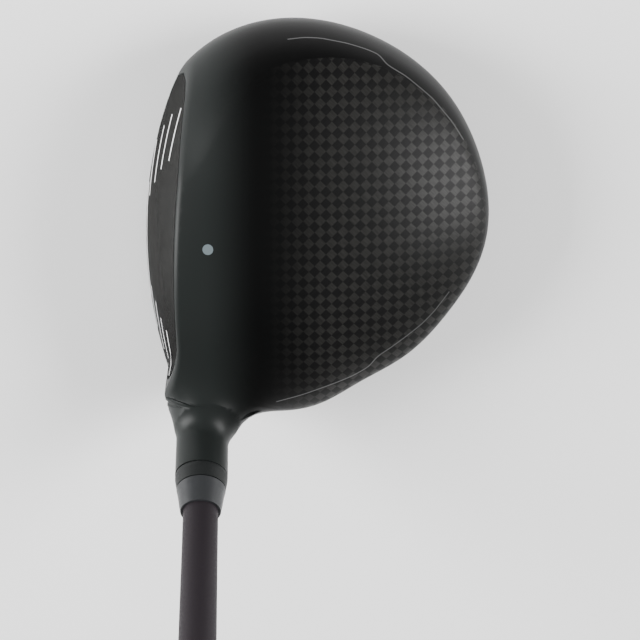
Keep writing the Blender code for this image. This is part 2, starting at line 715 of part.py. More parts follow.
badge_line = polar_outline(lambda turn: 1 / math.hypot(math.cos(turn) / BADGE_HALF[0],
                                                       math.sin(turn) / BADGE_HALF[1]), 40)
badge_prism = outline_block("badge_prism", badge_line, 8 * MM, at=(*BADGE_CENTRE, 0))
badge_recess = outline_block("badge_recess", grown(badge_line, GAP), 8 * MM, at=(*BADGE_CENTRE, 0))
combine(badge_recess, recess_floor, "DIFFERENCE", THIN_SHELL_SOLVER)


def head_copy(name, prism, back, colour, roughness, metallic=0.0):
    """A piece of the head's own surface inside a prism, in front of a drawn-in copy of the head."""
    mesh = outer_body.data.copy()
    mesh.materials.clear()
    obj = place(bpy.data.objects.new(name, mesh))
    finish(obj, colour, roughness, metallic)
    combine(obj, prism, "INTERSECT", THIN_SHELL_SOLVER)
    return combine(obj, back, "DIFFERENCE", THIN_SHELL_SOLVER)


crown_panel = head_copy("crown_panel", panel_prism, panel_back, (0.012, 0.012, 0.012), 0.3)
sole_badge = head_copy("sole_badge", badge_prism, panel_back, (0.2, 0.2, 0.21), 0.3, 0.9)

for number, (height, start, end) in enumerate(GROOVES):
    ys = np.linspace(start, end, 7)
    line = [(face_x(y, height), y, height) for y in ys]
    groove = pipe(f"groove_{number}", line, GROOVE_RADIUS)
    combine(face_insert, groove, "DIFFERENCE", THIN_SHELL_SOLVER)

for cutter in (cavity, weight_bore, hosel_bore, recess, opening, face_opening, badge_recess):
    combine(outer_body, cutter, "DIFFERENCE", THIN_SHELL_SOLVER)

# A pad of hot melt on the sole's inside holds stray particles.
pad_rings = [(PAD_RADIUS * math.cos(turn), PAD_HEIGHT * math.sin(turn))
             for turn in np.linspace(math.pi / 2, 0, 6)]
hot_melt_pad = turned("hot_melt_pad", [(0, PAD_HEIGHT)] + pad_rings[1:] + [(0, 0)],
                      steps=SMALL_STEPS, at=(*PAD_CENTRE, WALL + GAP))
finish(hot_melt_pad, (0.75, 0.66, 0.4), 0.5)


# ---- Hosel pieces, along the shaft axis ----------------------------------------------------------
def star_outline(radius, depth, teeth):
    """A round outline with square teeth: two points on each tooth and two in each gap."""
    points = []
    for i in range(teeth):
        middle = 2 * math.pi * i / teeth
        for offset, reach in ((-0.3, radius), (-0.18, radius + depth),
                              (0.18, radius + depth), (0.3, radius)):
            angle = middle + offset * 2 * math.pi / teeth * 1.2
            points.append((reach * math.cos(angle), reach * math.sin(angle)))
    return points


def drive_socket(name, parent, opening_at, depth):
    """A six-lobed wrench socket that opens towards -Z at opening_at, or towards +Z if depth < 0."""
    outline = polar_outline(lambda turn: DRIVE_RADIUS + DRIVE_LOBE * math.cos(6 * turn), 48)
    middle = opening_at + depth / 2 - math.copysign(1 * MM, depth) / 2
    return outline_block(name, outline, (abs(depth) + 1 * MM) / 2, frame=parent, at=(0, 0, middle))


ROOT_RADIUS = NOSE_RADIUS - SPLINE_DEPTH / 2
nose = outline_block("nose", star_outline(ROOT_RADIUS, SPLINE_DEPTH, SPLINE_COUNT),
                     (NOSE_LENGTH + NOSE_ROOT) / 2, frame=hosel_axis,
                     at=(0, 0, NOSE_END + (NOSE_LENGTH + NOSE_ROOT) / 2))
adapter_sleeve = turned("adapter_sleeve", [
    (FERRULE_RADIUS, COLLAR_TOP), (COLLAR_RADIUS, HOSEL_TOP + GAP + COLLAR_STRAIGHT),
    (COLLAR_RADIUS, HOSEL_TOP + GAP), (SLEEVE_RADIUS, HOSEL_TOP + GAP),
    (SLEEVE_RADIUS, SLEEVE_END), (THREAD_HOLE + GAP, SLEEVE_END),
    (THREAD_HOLE + GAP, SLEEVE_END + 2 * NOSE_ROOT),
    (SLEEVE_BORE, SLEEVE_END + SLEEVE_FLOOR), (SLEEVE_BORE, COLLAR_TOP)], parent=hosel_axis)
finish(adapter_sleeve, (0.03, 0.032, 0.031), 0.35, 0.6)
nose_hole = rod("nose_hole", THREAD_HOLE, NOSE_END - NOSE_ROOT, SLEEVE_END + 3 * NOSE_ROOT,
                parent=hosel_axis, group=CUTTERS)
combine(adapter_sleeve, nose, "UNION")
combine(adapter_sleeve, nose_hole, "DIFFERENCE")

ring_star = outline_block("ring_star", star_outline(ROOT_RADIUS + GAP, SPLINE_DEPTH, SPLINE_COUNT),
                          10 * MM, frame=hosel_axis, at=(0, 0, RING_TOP))
hosel_insert = rod("hosel_insert", SLEEVE_RADIUS, POCKET_END + SLIP, RING_TOP, parent=hosel_axis)
finish(hosel_insert, (0.3, 0.3, 0.3), 0.4, 0.9)
combine(hosel_insert, ring_star, "DIFFERENCE")

screw_washer = tube("screw_washer", WASHER_RADIUS, THREAD_RADIUS + SLIP, WASHER_END, SEAT - GAP,
                    parent=hosel_axis)
finish(screw_washer, (0.45, 0.45, 0.46), 0.35, 0.9)
hosel_screw = turned("hosel_screw", [
    (0, SHANK_TOP), (THREAD_RADIUS - 0.4 * MM, SHANK_TOP), (THREAD_RADIUS, SHANK_TOP - 0.6 * MM),
    (THREAD_RADIUS, SCREW_TOP), (SCREW_HEAD_RADIUS, SCREW_TOP),
    (SCREW_HEAD_RADIUS, SCREW_END + 0.4 * MM), (SCREW_HEAD_RADIUS - 0.4 * MM, SCREW_END),
    (0, SCREW_END)], steps=SMALL_STEPS, parent=hosel_axis)
finish(hosel_screw, (0.25, 0.25, 0.26), 0.3, 0.95)
combine(hosel_screw, drive_socket("hosel_drive", hosel_axis, SCREW_END, 2.8 * MM), "DIFFERENCE")
screw_retainer = tube("screw_retainer", PORT_RADIUS + RETAINER_GROOVE - GAP,
                      SCREW_HEAD_RADIUS - 0.7 * MM, GROOVE_TOP - RETAINER - GAP, GROOVE_TOP - GAP,
                      parent=hosel_axis)
finish(screw_retainer, (0.05, 0.05, 0.05), 0.6)

ferrule_taper = FERRULE_RADIUS - FERRULE_END_RADIUS
ferrule = turned("ferrule", [
    (FERRULE_RADIUS - ferrule_taper * inward, FERRULE_LOW + FERRULE_LENGTH * up)
    for up, inward in reversed(FERRULE_SHAPE)] + [
    (FERRULE_RADIUS, FERRULE_LOW), (SHAFT_TIP_RADIUS + SLIP, FERRULE_LOW),
    (SHAFT_TIP_RADIUS + SLIP, FERRULE_TOP)], parent=hosel_axis)
finish(ferrule, (0.045, 0.046, 0.048), 0.3)

# ---- Shaft pieces ------------------------------------------------------------------------------
STATIONS = [SHAFT_TIP, SHAFT_TIP + SHAFT_TIP_PARALLEL, SHAFT_END - SHAFT_BUTT_PARALLEL, SHAFT_END]
outside = [(shaft_radius(along), along) for along in reversed(STATIONS)]
inside = [(shaft_radius(along) - SHAFT_WALL, along) for along in STATIONS]
shaft = turned("shaft", outside + inside, parent=hosel_axis)
finish(shaft, (0.05, 0.045, 0.05), 0.25)
shaft_epoxy = tube("shaft_epoxy", SHAFT_TIP_RADIUS + EPOXY_CLEAR + EPOXY,
                   SHAFT_TIP_RADIUS + EPOXY_CLEAR, SHAFT_TIP + 1 * MM, COLLAR_TOP - 0.5 * MM,
                   parent=hosel_axis)
finish(shaft_epoxy, (0.5, 0.42, 0.2), 0.4)
tip_plug = rod("tip_plug", SHAFT_TIP_RADIUS - SHAFT_WALL - SLIP, SHAFT_TIP, SHAFT_TIP + PLUG_LENGTH,
               parent=hosel_axis, steps=SMALL_STEPS)
finish(tip_plug, (0.6, 0.6, 0.58), 0.5)

tape_out = SHAFT_BUTT_RADIUS + TAPE_CLEAR + TAPE
TAPE_LOW = GRIP_LOW + 4 * MM
grip_stations = [GRIP_LOW + share * (GRIP_LENGTH - GRIP_CAP - GAP) for share in (0, 0.015, 0.3, 0.7, 1)]


def grip_radius(along):
    share = (along - GRIP_LOW) / GRIP_LENGTH
    return GRIP_MOUTH_RADIUS + (GRIP_BUTT_RADIUS - GRIP_MOUTH_RADIUS) * share ** 1.25


def taped_radius(along, extra):
    return shaft_radius(along) + TAPE_CLEAR + extra


tape_stations = [TAPE_LOW, SHAFT_END - SHAFT_BUTT_PARALLEL, SHAFT_END]
grip_tape = turned("grip_tape",
                   [(taped_radius(along, TAPE), along) for along in reversed(tape_stations)]
                   + [(taped_radius(along, 0), along) for along in tape_stations], parent=hosel_axis)
finish(grip_tape, (0.7, 0.66, 0.55), 0.8)
grip_top = BUTT - GRIP_CAP - GAP
bore_stations = [GRIP_LOW, SHAFT_END - SHAFT_BUTT_PARALLEL, grip_top]
grip = turned("grip",
              [(grip_radius(along) - (0.8 * MM if along == GRIP_LOW else 0), along)
               for along in reversed(grip_stations)]
              + [(taped_radius(along, TAPE + TAPE_CLEAR), along) for along in bore_stations],
              parent=hosel_axis)
finish(grip, (0.03, 0.03, 0.032), 0.7)
cap_radius = grip_radius(BUTT)
stem_radius = SHAFT_BUTT_RADIUS - SHAFT_WALL - SLIP
grip_cap = turned("grip_cap", [
    (cap_radius - 1.6 * MM, BUTT), (cap_radius, BUTT - 1.6 * MM), (cap_radius, BUTT - GRIP_CAP),
    (stem_radius, BUTT - GRIP_CAP), (stem_radius, SHAFT_END - CAP_STEM),
    (VENT_RADIUS, SHAFT_END - CAP_STEM), (VENT_RADIUS, BUTT)], parent=hosel_axis)
finish(grip_cap, (0.03, 0.03, 0.03), 0.5)

# ---- Rear weight -------------------------------------------------------------------------------
weight_low = -WEIGHT_SUNK - WEIGHT_THICK
counterbore = WEIGHT_SCREW_HEAD + GAP
rear_weight = turned("rear_weight", [
    (WEIGHT_RADIUS - 0.5 * MM, -WEIGHT_SUNK), (WEIGHT_RADIUS, -WEIGHT_SUNK - 0.5 * MM),
    (WEIGHT_RADIUS, weight_low), (WEIGHT_SCREW_RADIUS + SLIP, weight_low),
    (WEIGHT_SCREW_RADIUS + SLIP, -WEIGHT_SUNK - counterbore),
    (WEIGHT_SCREW_HEAD_RADIUS + SLIP, -WEIGHT_SUNK - counterbore),
    (WEIGHT_SCREW_HEAD_RADIUS + SLIP, -WEIGHT_SUNK)], parent=weight_axis)
finish(rear_weight, (0.35, 0.34, 0.33), 0.3, 0.95)
screw_face = -WEIGHT_SUNK - 0.1 * MM
screw_low = -WEIGHT_SUNK - WEIGHT_THICK - WEIGHT_SCREW_ENGAGED
weight_screw = turned("weight_screw", [
    (0, screw_face), (WEIGHT_SCREW_HEAD_RADIUS - 0.4 * MM, screw_face),
    (WEIGHT_SCREW_HEAD_RADIUS, screw_face - 0.4 * MM),
    (WEIGHT_SCREW_HEAD_RADIUS, screw_face - WEIGHT_SCREW_HEAD),
    (WEIGHT_SCREW_RADIUS, screw_face - WEIGHT_SCREW_HEAD), (WEIGHT_SCREW_RADIUS, screw_low),
    (0, screw_low)], steps=SMALL_STEPS, parent=weight_axis)
finish(weight_screw, (0.25, 0.25, 0.26), 0.3, 0.95)
combine(weight_screw, drive_socket("weight_drive", weight_axis, screw_face, -2.0 * MM), "DIFFERENCE")
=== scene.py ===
"""Looks of the fairway wood: fine head surface, woven crown, brushed face, hosel rings, shaft and grip.

Lengths are in metres in the part's own frame: +X from face to back, +Y from heel to toe, +Z up.
Inside the materials, places are in millimetres.
"""

import math

import bmesh
import bpy
import numpy as np
from mathutils import Matrix, Vector


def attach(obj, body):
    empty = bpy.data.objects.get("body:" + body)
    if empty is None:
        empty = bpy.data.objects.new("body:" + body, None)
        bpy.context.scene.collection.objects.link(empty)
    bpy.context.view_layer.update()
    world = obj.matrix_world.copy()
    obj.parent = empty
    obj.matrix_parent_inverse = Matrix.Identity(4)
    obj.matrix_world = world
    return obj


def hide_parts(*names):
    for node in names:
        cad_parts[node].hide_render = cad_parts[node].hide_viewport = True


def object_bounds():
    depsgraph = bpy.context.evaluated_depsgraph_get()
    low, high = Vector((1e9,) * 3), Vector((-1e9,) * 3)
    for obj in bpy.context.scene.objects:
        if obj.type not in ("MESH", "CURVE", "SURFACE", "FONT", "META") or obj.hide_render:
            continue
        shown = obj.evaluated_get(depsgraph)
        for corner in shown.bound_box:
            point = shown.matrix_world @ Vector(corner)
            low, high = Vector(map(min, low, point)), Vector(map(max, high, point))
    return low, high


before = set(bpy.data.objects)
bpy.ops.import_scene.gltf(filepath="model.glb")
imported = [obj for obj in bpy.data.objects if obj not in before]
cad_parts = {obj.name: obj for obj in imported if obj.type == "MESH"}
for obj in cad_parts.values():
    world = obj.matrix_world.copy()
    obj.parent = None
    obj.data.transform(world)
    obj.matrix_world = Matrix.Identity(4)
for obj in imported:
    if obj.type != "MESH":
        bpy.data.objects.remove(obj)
cad_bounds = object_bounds()
MM = 0.001
TINY = 1e-6                          # keeps a division by a length from failing

# ---- Camera ------------------------------------------------------------------------------------
AIM = Vector((1.3, -20.5, 20.0)) * MM   # the point in the middle of the picture
CAMERA_DISTANCE = 450 * MM
CAMERA_TILT = math.radians(13.9)    # from straight above, towards the toe
CAMERA_LENS = 101.25                # on a sensor 36 wide
CLIP_START = 10 * MM

towards_camera = Vector((0, math.sin(CAMERA_TILT), math.cos(CAMERA_TILT)))
camera_data = bpy.data.cameras.new("camera")
camera_data.lens = CAMERA_LENS
camera_data.clip_start = CLIP_START
camera = bpy.data.objects.new("camera", camera_data)
image_up = (Vector((0, 1, 0)) - towards_camera * towards_camera.y).normalized()
axes = Matrix((image_up.cross(towards_camera), image_up, towards_camera)).transposed()
camera.matrix_world = Matrix.Translation(AIM + towards_camera * CAMERA_DISTANCE) @ axes.to_4x4()
bpy.context.scene.collection.objects.link(camera)
bpy.context.scene.camera = camera

# ---- The head's outside surface, the same formulas as the part's ---------------------------------
HEAD_REACH = 54.0 * MM              # from the middle of the head to the toe, seen from above
PLAN_SHAPE = (                      # outline from above: degrees round from the back, share of HEAD_REACH
    (0, 0.793), (25, 0.841), (50, 0.900), (75, 0.956), (97, 1.004), (120, 1.004), (145, 0.952),
    (180, 1.089), (215, 1.045), (240, 0.819), (262, 0.811), (285, 0.711), (308, 0.691), (332, 0.711))
WIDEST_HEIGHT = 14.0 * MM           # level of the widest outline above the sole's flat
CROWN_RISE = 24.7 * MM              # crown above that level, over the middle of the head
CROWN_FALL = 0.128                  # how much that rise drops for each metre towards the back
CROWN_EXPONENT = 2.4
CROWN_OVERHANG = 3.0 * MM
SOLE_DROP = 15.0 * MM               # depth of the uncut sole below the widest level
SOLE_EXPONENT = 2.6
SKIRT_CURVE = 18.0                  # inward curve of the skirt above the widest level, per metre
SKIRT_CURVE_TOE = 14.0              # more of it at the toe
SKIRT_CURVE_ANGLE = math.radians(110)
RIM_RADIUS = 1.5 * MM               # rounding where the crown meets the skirt
FLAT_EDGE = 0.4 * MM
LOFT = math.radians(15)
FACE_LEAD = 0.8037 * HEAD_REACH     # leading edge ahead of the middle of the head
LEAD_HEIGHT = 3.0 * MM
FACE_BULGE = 127.0 * MM             # radius of the face seen from above
FACE_TWIST = 0.8                    # extra loft towards the toe, per metre
FACE_ROLL = 260.0 * MM              # radius of the face seen from the toe
FACE_MID_HEIGHT = 18.0 * MM
FACE_MID_Y = -0.05 * HEAD_REACH
FACE_EDGE = 1.0 * MM                # rounding round the face
LIE = math.radians(57.5)
LEAN = math.radians(1.5)
# A point of the shaft axis, which lengths along it count from, up positive
HOSEL_POINT = np.array([-0.5111 * HEAD_REACH, -1.0148 * HEAD_REACH, 40.0 * MM])
HOSEL_RADIUS = 6.45 * MM
HOSEL_BLEND = 20.0 * MM
HOSEL_ROOT = -34.0 * MM             # the hosel's core ends here in a ball that rounds the heel
HEEL_FLARE = 2.2 * MM               # how much the core widens on its way down
HEEL_FLARE_START = -20.0 * MM
HEEL_FLARE_LENGTH = 14.0 * MM
BLEND_FADE = 14.0 * MM              # the blend into the head fades out over this at both ends
BLEND_LEAST_TOP = 0.02              # share of the blend that is left at the top, and at the root
BLEND_LEAST_ROOT = 0.05
PANEL_FRONT = -0.296 * HEAD_REACH   # front edge of the crown panel
PANEL_CORNER = 7.0 * MM
RIM_INSET = 0.8 * MM                # panel edge inside the crown's rim
GAP = 0.3 * MM                      # between the panel and its recess
GRAD_STEP = 0.05 * MM               # step to each side when a slope is measured
LEAST_SLOPE = 1e-3
SETTLING_ROUNDS = 4                 # steps that bring a point onto the surface
AXIS = np.array([math.sin(LEAN), -math.cos(LIE) * math.cos(LEAN), math.sin(LIE) * math.cos(LEAN)])


def periodic_spline(degrees, values):
    """A smooth closed curve through values at those angles, by the tridiagonal spline equations."""
    degrees = np.array(degrees, float)
    values = np.array(values, float)
    count = len(degrees)
    knots = np.append(degrees, degrees[0] + 360)
    widths = np.diff(knots)
    matrix = np.zeros((count, count))
    slopes = np.zeros(count)
    for i in range(count):
        after = (i + 1) % count
        matrix[i, i - 1] += widths[i - 1]
        matrix[i, i] += 2 * (widths[i - 1] + widths[i])
        matrix[i, after] += widths[i]
        slopes[i] = 6 * ((values[after] - values[i]) / widths[i]
                         - (values[i] - values[i - 1]) / widths[i - 1])
    bends = np.linalg.solve(matrix, slopes)

    def at(angle):
        turned_to = np.mod(np.degrees(angle) - degrees[0], 360) + degrees[0]
        i = np.clip(np.searchsorted(knots, turned_to, side="right") - 1, 0, count - 1)
        j = (i + 1) % count
        width = widths[i]
        a = (knots[i + 1] - turned_to) / width
        b = (turned_to - knots[i]) / width
        cubic = ((a ** 3 - a) * bends[i] + (b ** 3 - b) * bends[j]) * width * width / 6
        return a * values[i] + b * values[j] + cubic
    return at


plan_radius = periodic_spline([angle for angle, _ in PLAN_SHAPE],
                              [share * HEAD_REACH for _, share in PLAN_SHAPE])


def round_max(a, b, radius):
    """The larger of two fields, with the crease between them rounded."""
    mix = np.clip(0.5 - 0.5 * (b - a) / radius, 0, 1)
    return b * (1 - mix) + a * mix + radius * mix * (1 - mix)


def round_min(a, b, radius):
    """The smaller of two fields, with the crease between them filled."""
    return -round_max(-a, -b, radius)


def slope_of(field, points):
    """The gradient of a field at each point."""
    slope = np.zeros(points.shape)
    for i in range(3):
        step = np.zeros(3)
        step[i] = GRAD_STEP
        slope[..., i] = (field(points + step) - field(points - step)) / (2 * GRAD_STEP)
    return slope


def as_distance(field, points):
    """A field scaled so that it is close to a distance near its surface."""
    steepness = np.linalg.norm(slope_of(field, points), axis=-1)
    return field(points) / np.maximum(steepness, LEAST_SLOPE)


def polar(points):
    """Each point's angle and distance round the middle of the head, seen from above."""
    return np.arctan2(points[..., 1], points[..., 0]), np.hypot(points[..., 0], points[..., 1])


def crown_dome(points):
    """The crown: below zero under its surface."""
    angle, radius = polar(points)
    rise = CROWN_RISE - CROWN_FALL * points[..., 0]
    level = points[..., 2] - WIDEST_HEIGHT
    reach = radius / (plan_radius(angle) + CROWN_OVERHANG)
    return reach ** CROWN_EXPONENT + np.sign(level) * (level / rise) ** 2 - 1


def sole_bowl(points):
    """The sole: below zero above its surface."""
    angle, radius = polar(points)
    level = np.minimum(points[..., 2] - WIDEST_HEIGHT, 0)
    return (radius / plan_radius(angle)) ** SOLE_EXPONENT + (level / SOLE_DROP) ** 2 - 1


def skirt(points):
    """The side wall above the widest outline: below zero inside it."""
    angle, radius = polar(points)
    curve = SKIRT_CURVE + SKIRT_CURVE_TOE * np.cos(angle - SKIRT_CURVE_ANGLE)
    level = np.maximum(points[..., 2] - WIDEST_HEIGHT, 0)
    return radius - plan_radius(angle) + curve * level ** 2


def bowl_and_crown(points):
    """The head without its face and hosel."""
    upper = round_max(as_distance(crown_dome, points), skirt(points), RIM_RADIUS)
    return np.where(points[..., 2] > WIDEST_HEIGHT, upper, as_distance(sole_bowl, points))


def face_x(y, z):
    """The face surface: loft, with bulge from heel to toe and roll from sole to crown."""
    bulge = (y - FACE_MID_Y) ** 2 / (2 * FACE_BULGE)
    roll = ((z - FACE_MID_HEIGHT) ** 2 - (LEAD_HEIGHT - FACE_MID_HEIGHT) ** 2) / (2 * FACE_ROLL)
    loft = (z - LEAD_HEIGHT) * (math.tan(LOFT) + FACE_TWIST * y)
    return -FACE_LEAD + loft + bulge + roll


def hosel(points):
    """Distance from the round hosel, which widens towards its root."""
    along = (points - HOSEL_POINT) @ AXIS
    held = np.maximum(along, HOSEL_ROOT)
    foot = HOSEL_POINT + held[..., None] * AXIS
    share = np.clip((HEEL_FLARE_START - held) / HEEL_FLARE_LENGTH, 0, 1)
    radius = HOSEL_RADIUS + HEEL_FLARE * share * share * (3 - 2 * share)
    return np.linalg.norm(points - foot, axis=-1) - radius


def head_field(points):
    """The whole head: below zero inside it."""
    face = (face_x(points[..., 1], points[..., 2]) - points[..., 0]) * math.cos(LOFT)
    head = round_max(bowl_and_crown(points), face, FACE_EDGE)
    along = (points - HOSEL_POINT) @ AXIS
    above = np.clip(-along / BLEND_FADE, BLEND_LEAST_TOP, 1)
    below = np.clip((along - HOSEL_ROOT) / BLEND_FADE, BLEND_LEAST_ROOT, 1)
    joined = round_min(head, hosel(points), HOSEL_BLEND * above * below)
    return round_max(joined, -points[..., 2], FLAT_EDGE)


def crown_height(x, y):
    """The level of the crown over a place."""
    angle, radius = math.atan2(y, x), math.hypot(x, y)
    reach = min(radius / float(plan_radius(angle) + CROWN_OVERHANG), 1)
    rise = CROWN_RISE - CROWN_FALL * x
    return WIDEST_HEIGHT + rise * math.sqrt(1 - reach ** CROWN_EXPONENT)


SEARCH_REACH = 1.2 * HEAD_REACH     # farther out than any rim
RIM_DEPTH = 0.2 * MM                # the crown ends where it comes this near to the skirt
PANEL_HALVINGS = 30
FRONT_LIMIT = -0.05                 # cosine beyond which the straight front edge can cut the outline


def panel_radius(angle):
    """The crown panel's outline from above, as in the part."""
    low, high = 0.0, SEARCH_REACH
    along = np.array([math.cos(angle), math.sin(angle)])
    for _ in range(PANEL_HALVINGS):
        middle = (low + high) / 2
        x, y = along * middle
        inside = skirt(np.array([x, y, crown_height(x, y)])) < -RIM_DEPTH
        low, high = (middle, high) if inside else (low, middle)
    rim = low - RIM_INSET
    if along[0] >= FRONT_LIMIT:
        return float(rim)
    return float(round_min(np.array(rim), np.array(PANEL_FRONT / along[0]), PANEL_CORNER))


HEEL_ZONE_Y = -28.0 * MM            # the heel lies beyond this and above HEEL_ZONE_Z
HEEL_ZONE_Z = 10.0 * MM
OUTLINE_STEPS = 361
OUTLINE_TURNS = np.linspace(-math.pi, math.pi, OUTLINE_STEPS)
OUTLINE_RADII = [panel_radius(turn) for turn in OUTLINE_TURNS]


def beside_panel(points):
    """Whether points at the heel lie outside the crown panel's recess, seen from above."""
    angle, radius = polar(points)
    outside = radius > np.interp(angle, OUTLINE_TURNS, OUTLINE_RADII) + 2 * GAP
    return outside & (points[..., 1] < HEEL_ZONE_Y) & (points[..., 2] > HEEL_ZONE_Z)


def outward(points):
    """Unit normals of the head's surface."""
    slope = slope_of(head_field, points)
    return slope / np.maximum(np.linalg.norm(slope, axis=-1), TINY)[..., None]


def on_head(points, lift=0.0):
    """Points moved onto the head's surface, or lift above it."""
    points = np.array(points, float)
    for _ in range(SETTLING_ROUNDS):
        points = points - outward(points) * (head_field(points) - lift)[..., None]
    return points


# ---- Making pieces -----------------------------------------------------------------------------
FINEST = 1.3 * MM                   # longest edge of the refined head, crown and face
FINEST_BADGE = 1.0 * MM
HEAD_NEAR = 0.45 * MM               # how far off the exact surface a CAD vertex of it can be
FACE_NEAR = 0.12 * MM
BADGE_NEAR = 0.3 * MM
HEEL_NEAR = 2.5 * MM                # the CAD is coarser at the heel, and coarser still up the hosel
HOSEL_NEAR = 5.0 * MM
HOSEL_ZONE_Y = -42.0 * MM           # the hosel lies beyond this
FACING_HEAD = 0.5                   # least cosine between an outside face and the exact normal
FACING_HOSEL = 0.2
WELD = 0.002 * MM
SHARP_ANGLE = math.radians(30)
TURNED_LIMIT = 0.12                 # a face that tilts more than this sideways isn't a turned one


def link(name, mesh):
    """A new object of that mesh, in the scene."""
    obj = bpy.data.objects.new(name, mesh)
    bpy.context.scene.collection.objects.link(obj)
    return obj


def refined(name, node, finest, near_surface):
    """A copy of a head node with its outside faces cut small and laid on the exact surface."""
    bm = bmesh.new()
    bm.from_mesh(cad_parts[node].data)
    bmesh.ops.remove_doubles(bm, verts=bm.verts, dist=WELD)
    bmesh.ops.triangulate(bm, faces=bm.faces)
    bm.verts.ensure_lookup_table()

    def outside_faces():
        bm.verts.index_update()
        bm.normal_update()
        places = np.array([vert.co for vert in bm.verts])
        off = np.abs(head_field(places))
        up_hosel = places[:, 1] < HOSEL_ZONE_Y
        head_near = np.where(beside_panel(places), HEEL_NEAR, near_surface)
        near = off < np.where(up_hosel, HOSEL_NEAR, head_near)
        facing = np.where(up_hosel, FACING_HOSEL, FACING_HEAD)
        normals = outward(places)
        return [face for face in bm.faces
                if all(near[vert.index] for vert in face.verts)
                and np.dot(face.normal, normals[face.verts[0].index]) > facing[face.verts[0].index]]

    for longest in (4 * finest, 2 * finest, finest):
        edges = {edge for face in outside_faces() for edge in face.edges
                 if edge.calc_length() > longest}
        bmesh.ops.subdivide_edges(bm, edges=list(edges), cuts=1)
        bmesh.ops.triangulate(bm, faces=[face for face in bm.faces if len(face.verts) > 3])
        outside = outside_faces()
        moved = sorted({vert for face in outside for vert in face.verts}, key=lambda vert: vert.index)
        places = np.clip(on_head([vert.co for vert in moved]), *map(np.array, cad_bounds))
        for vert, place in zip(moved, places):
            vert.co = place
    for face in bm.faces:
        face.smooth = True
    bm.faces.index_update()
    outside_numbers = {face.index for face in outside}
    mesh = bpy.data.meshes.new(name)
    bm.to_mesh(mesh)
    bm.free()
    mesh.set_sharp_from_angle(angle=SHARP_ANGLE)
    places = np.array([vert.co for vert in mesh.vertices])
    exact = outward(places)
    normals = [None] * len(mesh.loops)
    for polygon in mesh.polygons:
        for loop in polygon.loop_indices:
            normals[loop] = (tuple(exact[mesh.loops[loop].vertex_index])
                             if polygon.index in outside_numbers
                             else tuple(mesh.corner_normals[loop].vector))
    mesh.normals_split_custom_set(normals)
    piece = link(name, mesh)
    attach(piece, "head")
    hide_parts(node)
    return piece


def round_shading(mesh):
    """Normals that turn a piece's flats round the shaft axis into round surfaces."""
    mesh.shade_smooth()
    places = np.array([vert.co for vert in mesh.vertices]) - HOSEL_POINT
    spokes = places - (places @ AXIS)[:, None] * AXIS
    spokes /= np.maximum(np.linalg.norm(spokes, axis=1), TINY)[:, None]
    normals = [None] * len(mesh.loops)
    for polygon in mesh.polygons:
        flat = np.array(polygon.normal)
        spoke = spokes[list(polygon.vertices)].mean(0)
        spoke /= max(np.linalg.norm(spoke), TINY)
        along, outwards = flat @ AXIS, flat @ spoke
        turned = np.linalg.norm(flat - along * AXIS - outwards * spoke) < TURNED_LIMIT
        for loop in polygon.loop_indices:
            bent = along * AXIS + outwards * spokes[mesh.loops[loop].vertex_index]
            normals[loop] = tuple(bent if turned else flat)
    mesh.normals_split_custom_set(normals)


# ---- Materials ---------------------------------------------------------------------------------
NOISE_LOW, NOISE_HIGH = 0.3, 0.7    # most of a noise texture's values lie between these
TURNING_DEPTH = 0.004 * MM


